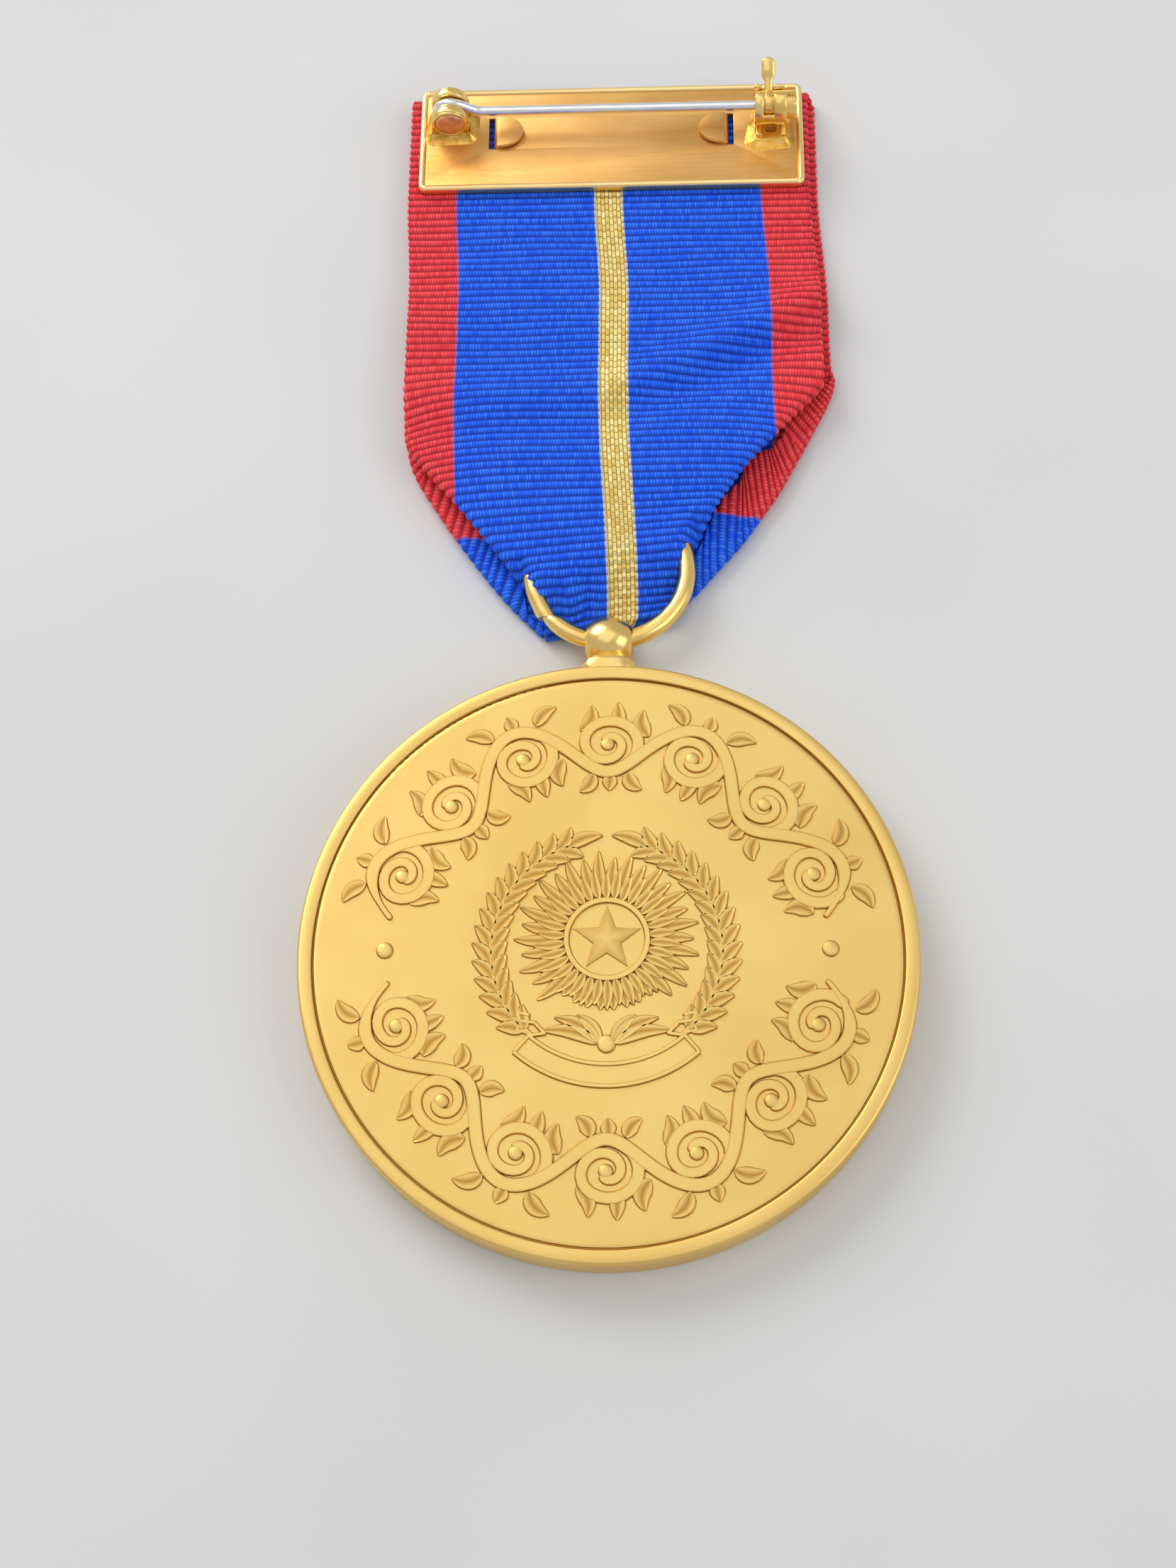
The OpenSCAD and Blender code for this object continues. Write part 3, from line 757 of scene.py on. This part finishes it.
def carrier_bar():
    """The ribbon's inner bar and its two tabs, bent over the plate beside their slots."""
    shape = Shape()
    shape.slab(rounded_rect(28, 7, 0.6) + (0, 64.7), 0.47, 1.07, 0.08)
    thick, half_len, bend_r = 0.3, 1.35, 0.32
    rise = PLATE_BACK + 0.02 + thick / 2
    for s in (1, -1):
        path = [(8.72, z) for z in (1.0, 1.4, 1.7, rise - bend_r)]
        bend = np.radians([15, 30, 45, 60, 75, 90])
        path += list(polar(bend_r, bend, 8.72 - bend_r, rise - bend_r))
        start = path[-1][0]
        reach = 1.75
        run = np.sin(np.linspace(0, np.pi / 2, 12))[1:]
        path += [(start - reach * t, rise + 0.05 * math.sin(math.pi * t)) for t in run]
        path = np.array(path)
        taper = np.clip((run - 0.12) / 0.88, 0, 1)
        half = [half_len] * 10 + list(half_len * np.sqrt(1 - taper**2))
        tangent = unit(np.gradient(path, axis=0))
        normal = np.stack([-tangent[:, 1], tangent[:, 0]], 1)
        loops = []
        for p, n, h in zip(path, normal, half):
            h = max(h, 0.05)
            row = []
            right = [(h - 0.05, -0.15), (h, -0.10), (h, 0.10), (h - 0.05, 0.15)]
            for w, o in [(0.05 - h, -0.15), *right, (0.05 - h, 0.15), (-h, 0.10), (-h, -0.10)]:
                row.append((s * (p[0] + n[0] * o), PLATE_D + 0.5 + w, p[1] + n[1] * o))
            loops.append(row)
        shape.loft(loops, flip=s < 0)
    shape.piece("carrier_bar_tabs", BRUSHED, "brooch", "brushed_gilt", ["carrier_bar"], sharp=40)


def hinge():
    """The hinge's two beaded ears on their foot, and the rivet through them."""
    shape = Shape()
    arc = np.radians(np.linspace(0, 180, 25))
    base = [(-1.4, PLATE_BACK), (1.4, PLATE_BACK)]
    outline = np.concatenate([base, polar(1.4, arc, 0.0, PIN_Z)]) + (HINGE_X, 0)
    for front in (PIN_D - 1.1, PIN_D + 0.5):
        shape.slab(outline, front, front + 0.6, 0.09, upright)
    foot = rounded_rect(2.9, 2.2, 0.15) + (HINGE_X, PIN_D)
    shape.slab(foot, PLATE_BACK, PLATE_BACK + 0.35, 0.06)
    around = np.radians(np.linspace(0, 360, 49))
    for d in (PIN_D - 1.12, PIN_D + 1.12):
        shape.tube(upright(polar(1.2, around, HINGE_X, PIN_Z), d), 0.13, 10, up=(0, 1, 0))
    shape.piece("hinge_bracket_ears", POLISHED, "brooch", "polished_gilt", ["hinge_bracket"], sharp=45)

    shape = Shape()
    angles = np.radians(np.arange(0, 360, 9))
    for way in (-1, 1):
        dome = [(0.48, 0.0), (0.48, 1.1), (1.02, 1.1), (1.08, 1.15), (1.07, 1.22), (0.98, 1.29),
                (0.84, 1.315), (0.66, 1.33), (0.46, 1.375), (0.24, 1.40), (0.08, 1.405)]
        loops = []
        for r, t in dome:
            uneven = 1 + 0.03 * np.sin(3 * angles + 1) * (r > 0.5)
            loops.append(upright(polar(r * uneven, angles, HINGE_X, PIN_Z), PIN_D + way * t))
        shape.loft(loops, flip=way < 0)
    shape.piece("hinge_rivet_domed", COPPER, "brooch", "copper", ["hinge_rivet"], sharp=50)


def solder_skirt(name, centre, size, corner, spread, height, node, seed):
    """Solder run round a foot: a lumpy fillet with an uneven edge, spread(angle) wide."""
    noise = np.random.default_rng(seed)
    base = rounded_rect(*size, corner, 8)
    angle = np.arctan2(base[:, 1], base[:, 0])
    phase = noise.uniform(0, 2 * np.pi, 4)
    lumps = sum(np.sin((k + 2) * angle + phase[k]) / (k + 2) for k in range(4))
    width = np.array([spread(a) for a in angle]) * (1 + 0.35 * lumps)
    tall = height * (1 + 0.45 * np.roll(lumps, 9))
    loops = []
    for t in (-0.25, 0.0, 0.15, 0.35, 0.6, 0.82, 0.94, 1.0):
        p = base + (inset_outline(base, -1) - base) * (t * width)[:, None]
        z = tall * np.clip(1 - t, 0, 1) ** 1.7 + 0.05 * (1 - max(t, 0) ** 4)
        loops.append(np.column_stack([p + centre, PLATE_BACK + z * (t >= 0) + (t < 0) * 0.02]))
    loops.append(np.column_stack([loops[-1][:, :2], np.full(len(base), PLATE_BACK - 0.02)]))
    shape = Shape()
    shape.loft(loops, cap=False)
    shape.piece(name, SOLDER, "brooch", "solder", [node], sharp=60)


def pin():
    """The pin's wire: round the rivet, down in a double bend, straight, and to a point."""
    eye = 1.0
    loop = polar(eye, np.radians(np.linspace(355, 90, 30)), HINGE_X, PIN_Z)
    path = list(upright(loop, PIN_D + np.linspace(-0.10, 0.0, 30)))
    bend = np.linspace(0, 1, 16)[1:]
    path += [(HINGE_X + 2.5 * t, PIN_D, PIN_Z + eye * (1 + math.cos(math.pi * t)) / 2) for t in bend]
    start = path[-1][0]
    path += [(x, PIN_D, PIN_Z) for x in np.linspace(start, 11.7, 26)[1:]]
    body = len(path)
    path += [(11.7 + 1.6 * t, PIN_D, PIN_Z) for t in (0.2, 0.4, 0.6, 0.8, 0.93, 1.0)]
    radius = [0.345] * body + [0.31, 0.25, 0.18, 0.11, 0.06, 0.02]
    radius[0] = 0.27
    shape = Shape()
    shape.tube(path, radius, 24, up=(0, 1, 0))
    shape.piece("pin_wire", STEEL, "pin", "pin_steel", ["pin_stem"], sharp=50)


def band(shape, x0, x1, r_in, r_out, a0, a1, soft=0.08):
    """A part of a tube along X between two angles, measured from +Y towards +Z, with soft edges."""
    nick = 0.3 * soft
    section = [(x0 + soft, r_in), (x1 - soft, r_in), (x1, r_in + soft), (x1, r_out - soft)]
    section += [(x1 - nick, r_out - nick), (x1 - soft, r_out), (x0 + soft, r_out), (x0 + nick, r_out - nick)]
    section = np.array(section + [(x0, r_out - soft), (x0, r_in + soft)])
    middle = np.array([(x0 + x1) / 2, (r_in + r_out) / 2])
    steps = np.linspace(a0, a1, max(4, int((a1 - a0) / 6)))
    loops = []
    for k, a in enumerate(np.radians([a0 - 3, *steps, a1 + 3])):
        s = section if 0 < k < len(steps) + 1 else middle + 0.7 * (section - middle)
        loops.append([(x, PIN_D + r * math.cos(a), PIN_Z + r * math.sin(a)) for x, r in s])
    shape.loft(loops)


def catch():
    """The catch's open housing on its foot, and the turning sleeve with its lever."""
    shape = Shape()
    for x0, x1 in ((10.8, 11.49), (12.21, 13.2)):
        band(shape, x0, x1, 1.08, 1.47, 98, 397, 0.14)
    band(shape, 11.3, 12.4, 1.08, 1.45, 168, 372, 0.1)
    foot = rounded_rect(2.4, 3.3, 0.25) + (12.05, 65.25)
    window = rounded_rect(0.7, 0.7, 0.06, 3) + (12.05, 64.65)
    cut_sheet(shape, [foot, window], PLATE_BACK, PLATE_BACK + 0.3, 0.05)
    for x in (11.15, 12.95):
        shape.slab(rounded_rect(0.42, 1.5, 0.1) + (x, 64.55), PLATE_BACK + 0.15, PLATE_BACK + 0.62, 0.06)
    shape.piece("catch_housing_bands", POLISHED, "brooch", "polished_gilt", ["catch_housing"], sharp=45)

    shape = Shape()
    band(shape, 10.85, 13.95, 0.62, 1.02, 95, 402, 0.07)
    band(shape, 11.55, 12.15, 0.96, 1.07, 34, 150, 0.04)
    steps = np.linspace(0.7, 3.42, 26)
    half = 0.29 + 0.23 * smoothstep(1.65, 2.15, steps)
    half = np.minimum(half, np.sqrt(np.clip(0.52**2 - np.clip(steps - 2.92, 0, 1) ** 2, 0.006, 1)))
    lift = math.radians(32)
    reach, out = np.array([math.cos(lift), math.sin(lift)]), np.array([-math.sin(lift), math.cos(lift)])
    loops = []
    for r, h in zip(steps, half):
        thick = (0.17 + 0.07 * smoothstep(1.9, 2.5, r)) * min(1.0, h / 0.3)
        row = []
        for a in np.radians(np.arange(0, 360, 22.5)):
            w, o = squared(math.cos(a)) * h, squared(math.sin(a)) * thick
            y, z = reach * r + out * o
            row.append((11.85 + w, PIN_D + y, PIN_Z + z))
        loops.append(row)
    shape.loft(loops)
    shape.piece("catch_sleeve_lever", POLISHED, "latch", "polished_gilt", ["catch_rotor"], sharp=45)


# ---- Ribbon ----

HALF, SEAM = 15.0, 46.0
SKEW = 0.6
CLOTH, CORD = 0.10, 0.14
BOTTOM = 24.24
NEAR_LEFT = [
    (46, -20.8), (38.5, -14.9), (32.6, -10.0), (26.7, -5.6), (26.0, -4.8),
    (25.2, -4.3), (24.3, -4.2), (21, -4.2),
]
NEAR_RIGHT = [
    (46, 17.7), (42.3, 14.9), (39.1, 11.9), (36.0, 9.3), (32.8, 7.2),
    (29.6, 5.4), (28.6, 4.8), (27.5, 4.5), (25.5, 4.2), (21, 4.2),
]
FAR_LEFT = [
    (42.5, -17.6), (38.8, -15.0), (35.1, -13.0), (31.5, -10.75), (27.9, -8.2),
    (24.6, -5.6), (23.9, -4.7), (23.2, -4.2), (21, -4.2),
]
FAR_RIGHT = [
    (46, 18.0), (42.5, 15.7), (38.5, 13.7), (34.55, 11.65), (30.6, 9.0),
    (26.8, 5.8), (25.6, 4.7), (24.9, 4.25), (21, 4.2),
]


def drift(d):
    """How far the stripe lies to the right of the middle."""
    return 0.25 + 0.65 * smoothstep(42, 26, d) - 0.45 * smoothstep(50, 60, d)


def ripple(x, d):
    """Soft unevenness of the cloth's face, none of it under the plate."""
    free = smoothstep(58.5, 54, d) * smoothstep(27, 31, d)
    soft = 0.05 * np.sin(0.42 * x + 0.31 * d) + 0.04 * np.sin(0.27 * x - 0.55 * d + 1.3)
    above = d - 40.3 - 0.27 * (x + np.sqrt(x * x + 9))
    crease = np.exp(-((above - 1.4) / 1.7) ** 2) - 0.6 * np.exp(-((above + 1.4) / 1.6) ** 2)
    soft = soft + 0.64 * crease * (0.4 + 0.6 * smoothstep(-3, 6, x))
    return free * soft


def near_z(x, d):
    """The height of the upper layer's middle."""
    top = 1.33 + 0.67 * smoothstep(57.5, 46, d) + 0.62 * smoothstep(46, 34, d)
    line = 26.5 + (x + 5.4) * 0.262 + 1.3 * np.clip((np.abs(x) - 5.4) / 0.6, -1, 1)
    share = 1.5 + 1.5 * np.clip(1 - (x / 5.4) ** 2, 0, 1)
    inside = smoothstep(line - share, line + share, d)
    z = 0.78 + (top - 0.78) * inside
    patch = np.exp(-(((x + 2.4) / 1.6) ** 2) - ((d - 26.0) / 1.5) ** 2)
    gather = (0.2 + 0.22 * np.cos(2.9 * (x + 2.4))) * patch
    return z + ripple(x, d) * smoothstep(0.2, 0.9, inside) + gather


def far_z(x, d):
    """The height of the lower layer's middle."""
    z = 0.27 + 0.10 * smoothstep(58, 50, d) - 0.05 * smoothstep(30, 25, d)
    return z + 0.03 * np.sin(0.5 * x + 0.4 * d) * smoothstep(57, 52, d) * smoothstep(26, 30, d)


def layer_z(lam, x, d, bend_z):
    """The height of the cloth's middle: lam is 0 in the upper layer, 1 in the lower, between in a bend."""
    if lam <= 0:
        return near_z(x, d)
    if lam >= 1:
        return far_z(x, d)
    return np.full_like(x, bend_z)


def meet(border, row, side):
    """Where a row of the cloth meets its border line, going out from the middle."""
    near, away = 0.0, 18.0
    for _ in range(30):
        half = (near + away) / 2
        if half < side * border(row(side * half)):
            near = half
        else:
            away = half
    return side * near


def edge_line(stops, side, peek=0.0):
    """The cloth's edge on one side: its selvedge, or the fold line where that lies further in."""

    def border(d):
        fold, selvedge = side * float(smooth_line(d, stops)), HALF + side * float(drift(d)) + peek
        if side < 0:
            selvedge -= 0.45 * float(smoothstep(SEAM, 39.5, d))
        return side * (min(fold, selvedge) - 0.3 * math.log1p(math.exp(-abs(fold - selvedge) / 0.3)))

    return border


def cloth(name, centre, across, along, up, body_blend):
    """A closed strip of ribbed cloth round a grid of points, with beaded selvedges."""
    rows, cols = centre.shape[:2]
    da, db = np.gradient(centre, axis=1), np.gradient(centre, axis=0)
    normal = unit(np.cross(da, db) * up)
    phase = np.mod(along / RIB, 1.0)
    cord = np.sin(np.pi * phase) ** 1.3
    half = CLOTH + CORD * cord
    top, low = centre + normal * half[:, :, None], centre - normal * half[:, :, None]
    bead = (0.06 + 0.12 * cord[:, 0])[:, None]
    left, right = centre[:, 0] - unit(da[:, 0]) * bead, centre[:, -1] + unit(da[:, -1]) * bead
    loops = np.concatenate([top, right[:, None], low[:, ::-1], left[:, None]], axis=1)
    u = np.concatenate([across, across[:, -1:], across[:, ::-1], across[:, :1]], axis=1)
    v = np.concatenate([along, along[:, -1:], along[:, ::-1], along[:, :1]], axis=1)
    m = loops.shape[1]
    faces = []
    for i in range(rows - 1):
        a, b = i * m, (i + 1) * m
        faces += [(a + k, a + (k + 1) % m, b + (k + 1) % m, b + k) for k in range(m)]
    for i in (0, rows - 1):
        a = i * m
        faces += [(a + j, a + j + 1, a + 2 * cols - j - 1, a + 2 * cols - j) for j in range(cols - 1)]
        faces += [(a + cols - 1, a + cols, a + cols + 1), (a, a + 2 * cols, a + 2 * cols + 1)]
    obj = build(name, loops, faces, WEAVE, 70, {"rib_u": u, "rib_v": v})
    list(body_blend)
    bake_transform(obj)
    return obj


def even_rows(path):
    """Row positions along a (d, z) path: six to a rib, from the crest of one rib to the crest of another."""
    path = np.array(path, float)
    run = np.concatenate([[0], np.cumsum(np.linalg.norm(np.diff(path, axis=0), axis=1))])
    ribs = round(run[-1] / RIB)
    v = np.linspace(0, 1, ribs * 6 + 1)
    share = np.interp(v * run[-1], run, np.arange(len(path)))
    return share, (v * ribs + 0.5) * RIB


def upper_ribbon():
    """From the seam up to the bar, round its top edge and back down behind."""
    near = [(d, float(near_z(0.0, d))) for d in np.linspace(SEAM, 68.2, 90)]
    wrap = [(68.2 + 0.56 * math.sin(a), 0.77 + 0.56 * math.cos(a)) for a in np.linspace(0, math.pi, 14)[1:-1]]
    far = [(d, float(far_z(0.0, d))) for d in np.linspace(68.2, SEAM, 90)]
    path = np.array(near + wrap + far)
    share, v = even_rows(path)
    index = np.arange(len(path))
    d = np.interp(share, index, path[:, 0])
    z0 = np.interp(share, index, path[:, 1])
    layer = np.clip((share - len(near) + 1) / (len(wrap) + 1), 0, 1)
    u = np.linspace(-HALF, HALF, 46)
    centre = np.zeros((len(d), len(u), 3))
    for i in range(len(d)):
        x = u + float(drift(d[i])) + SKEW * layer[i] * (u + HALF) / (2 * HALF)
        dd = d[i] + 0.04 * np.sin(0.6 * x + d[i]) * float(smoothstep(60, 55, d[i]))
        z = layer_z(layer[i], x, np.full_like(x, d[i]), z0[i])
        centre[i] = np.stack([x, dd if layer[i] in (0, 1) else np.full_like(x, d[i]), z], 1)
    across = np.repeat(u[None], len(d), 0)
    along = np.repeat(v[:, None], len(u), 1)
    bend = ("brooch", "ribbon", (0, 0.0345, 0.001), (0, 0.0295, 0.001))
    obj = cloth("ribbon_upper", centre, across, along, 1, bend)
    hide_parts("ribbon_head", "ribbon_drop")
    return obj


def turned_margin(row, side, lam, x, u, lean, bend_z):
    """The cloth past its fold at x, rolled to the inside: its points, and their places across the strip."""
    d = row(x)
    border = unit(np.array([lean, 1.0]))
    normal = np.array([border[1], -border[0]]) * side
    slope = (d - row(x - side * 0.2)) / 0.2
    run = np.array([side, slope]) / math.hypot(1, slope)
    if lam <= 0:
        limit, stretch = 0.35 + 3.6 * smoothstep(27, 34, d), 1.0
        radius = 0.13 + 0.13 * smoothstep(26.5, 29, d)
    elif lam >= 1:
        limit = 0.4 + 1.8 * smoothstep(24.3, 26, d) + 2.6 * smoothstep(25, 29, d)
        radius, stretch = 0.12 + 0.13 * smoothstep(24.5, 26.5, d), 1.35 if side < 0 else 1.25
    else:
        limit, radius, stretch = 0.35, 0.12, 1.0
    hem = 0.7 * lam * float(smoothstep(45, 42, d))
    reach = min(max(0.0, HALF + hem - abs(u)), limit) * stretch
    steep = max(0.25, float(run @ normal))
    arc = min(reach, math.pi * radius / steep)
    s = np.concatenate([np.linspace(0, arc, 7)[1:], np.linspace(arc, max(reach, arc + 1e-3), 7)[1:]])
    angle = np.minimum(s * steep / radius, math.pi)
    out = radius * np.sin(angle) - np.clip(s * steep - math.pi * radius, 0, None)
    lengthwise = s * float(run @ border)
    px = x + out * normal[0] + lengthwise * border[0]
    pd = d + out * normal[1] + lengthwise * border[1]
    inward = (lam >= 1) - (lam <= 0)
    pz = layer_z(lam, px, pd, bend_z) + inward * radius * (1 - np.cos(angle))
    return np.stack([px, pd, pz], 1), u + side * s / stretch


def lower_ribbon():
    """From the seam down through the ring and back up behind, with both margins folded to the inside."""
    near = [(d, float(near_z(0.0, d)), 0.0) for d in np.linspace(SEAM, BOTTOM, 120)]
    turn = np.linspace(0, math.pi, 12)[1:-1]
    wrap = [(BOTTOM - 0.24 * math.sin(a), 0.54 + 0.24 * math.cos(a), a / math.pi) for a in turn]
    far = [(d, float(far_z(0.0, d)), 1.0) for d in np.linspace(BOTTOM, SEAM, 120)]
    path = np.array(near + wrap + far)
    share, v = even_rows(path[:, :2])
    index = np.arange(len(path))
    d0, z0, layer = (np.interp(share, index, path[:, k]) for k in range(3))
    inner, turned = 50, 12
    cols = inner + 2 * turned
    centre, across = np.zeros((len(d0), cols, 3)), np.zeros((len(d0), cols))
    for i in range(len(d0)):
        lam, base = float(layer[i]), float(d0[i])
        tilt = 0.11 * float(smoothstep(36, 28, base)) + 0.06 * float(smoothstep(28, 24, base))
        droop = 1.5 * float(smoothstep(45.8, 40.0, base) * smoothstep(29, 36, base))
        rise = 1.3 * float(smoothstep(44, 38, base) * smoothstep(24.5, 28, base))

        def row(x, tilt=tilt, droop=droop, rise=rise, lam=lam, base=base):
            far_part = min(1.0, max(0.0, (abs(x) - 4) / 9))
            patch = math.exp(-(((x + 2.3) / 1.7) ** 2) - ((base - 25.9) / 1.3) ** 2)
            near_part = droop * (abs(x) / 15) ** 5 - 0.22 * math.sin(2.6 * (x + 2.0)) * patch
            return base + tilt * x - (1 - lam) * near_part + lam * rise * far_part**2

        ends, fold = [], []
        for side, near_stops, far_stops in ((-1, NEAR_LEFT, FAR_LEFT), (1, NEAR_RIGHT, FAR_RIGHT)):
            if lam <= 0:
                border = edge_line(near_stops, side)
            elif lam >= 1:
                border = edge_line(far_stops, side, SKEW if side > 0 else 0.0)
            else:
                border = lambda d, side=side: side * 4.2
            x = meet(border, row, side)
            slope = (border(row(x) + 0.3) - border(row(x) - 0.3)) / 0.6
            ends.append(x)
            fold.append(slope)
        x = np.linspace(ends[0], ends[1], inner)
        d = np.array([row(q) for q in x])
        z = layer_z(lam, x, d, z0[i])
        centre[i, turned : turned + inner] = np.stack([x, d, z], 1)
        squeeze = lam * smoothstep(41, 34, d)
        skewed = SKEW * lam * (1 - squeeze) * (x + HALF) / (2 * HALF)
        across[i, turned : turned + inner] = (x - drift(d) - skewed + 0.82 * squeeze) * (1 + 0.078 * squeeze)
        for which, side in ((0, -1), (1, 1)):
            u = float(across[i, turned + (inner - 1) * which])
            block, u_line = turned_margin(row, side, lam, ends[which], u, fold[which], z0[i])
            if side < 0:
                centre[i, :turned], across[i, :turned] = block[::-1], u_line[::-1]
            else:
                centre[i, turned + inner :], across[i, turned + inner :] = block, u_line
    along = np.repeat(v[:, None], cols, 1)
    bend = ("ribbon", "ring", (0, 0.014, 0.0017), (0, 0.0085, 0.0017))
    obj = cloth("ribbon_lower", centre, across, along, -1, bend)
    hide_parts("ribbon_tip")
    return obj


# ---- The object ----

disc_body()
reverse_relief()
obverse_relief()
ball()
ring()
back_plate()
carrier_bar()
hinge()
solder_skirt(
    "hinge_solder_flow", (HINGE_X, PIN_D), (2.9, 2.2), 0.15,
    lambda a: 0.30 + 0.75 * max(0.0, -math.sin(a)) ** 2 + 0.30 * max(0.0, math.cos(a - 0.2)) ** 3,
    0.42, "hinge_solder", 3,
)
solder_skirt(
    "catch_solder_flow", (12.05, 65.25), (2.4, 3.3), 0.2,
    lambda a: 0.16 + 0.75 * max(0.0, -math.sin(a)) ** 2, 0.26, "catch_solder", 11,
)
pin()
catch()
for strip in (upper_ribbon(), lower_ribbon()):
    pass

# ---- Floor, lights and camera ----

floor_mesh = bpy.data.meshes.new("floor")
floor_mesh.from_pydata([(-3, -3, 0), (3, -3, 0), (3, 3, 0), (-3, 3, 0)], [], [(0, 1, 2, 3)])
floor = bpy.data.objects.new("floor", floor_mesh)
bpy.context.scene.collection.objects.link(floor)
ground = Shader("floor_matt", 0.0, Specular_IOR_Level=0.2)
greys = [(0.3, (0.66, 0.655, 0.645)), (0.7, (0.70, 0.695, 0.685))]
floor_mesh.materials.append(ground.finish(ground.ramp(ground.noise(40, 2), greys), 0.9))


def softbox(name, at, size, power, color=(1, 1, 1)):
    light = bpy.data.lights.new(name, "AREA")
    light.shape, light.size, light.size_y, light.energy, light.color = "RECTANGLE", *size, power, color
    obj = bpy.data.objects.new(name, light)
    obj.location = at
    obj.rotation_euler = (Vector(at) - Vector((0, -0.005, 0))).to_track_quat("Z", "Y").to_euler()
    bpy.context.scene.collection.objects.link(obj)


softbox("key", (-0.32, 0.36, 0.34), (0.36, 0.30), 1.75, (1.0, 0.985, 0.965))
softbox("overhead", (-0.06, 0.04, 0.58), (0.60, 0.54), 0.52)
softbox("fill", (0.40, -0.12, 0.32), (0.32, 0.32), 0.50, (0.96, 0.98, 1.0))

world = bpy.data.worlds.new("studio")
world.use_nodes = True
world.node_tree.nodes["Background"].inputs["Color"].default_value = (0.95, 0.97, 1.0, 1)
world.node_tree.nodes["Background"].inputs["Strength"].default_value = 0.58
bpy.context.scene.world = world
bpy.context.scene.view_settings.view_transform = "Standard"

camera = bpy.data.cameras.new("camera")
camera.lens, camera.sensor_width = 48.17, 36.0
camera.clip_start, camera.clip_end = 0.005, 20
eye = bpy.data.objects.new("camera", camera)
eye.location = Vector((4.56, -63.79, 131.96)) * MM
eye.rotation_euler = [math.radians(a) for a in (21.4655, 2.427, 0.4416)]
bpy.context.scene.collection.objects.link(eye)
bpy.context.scene.camera = eye
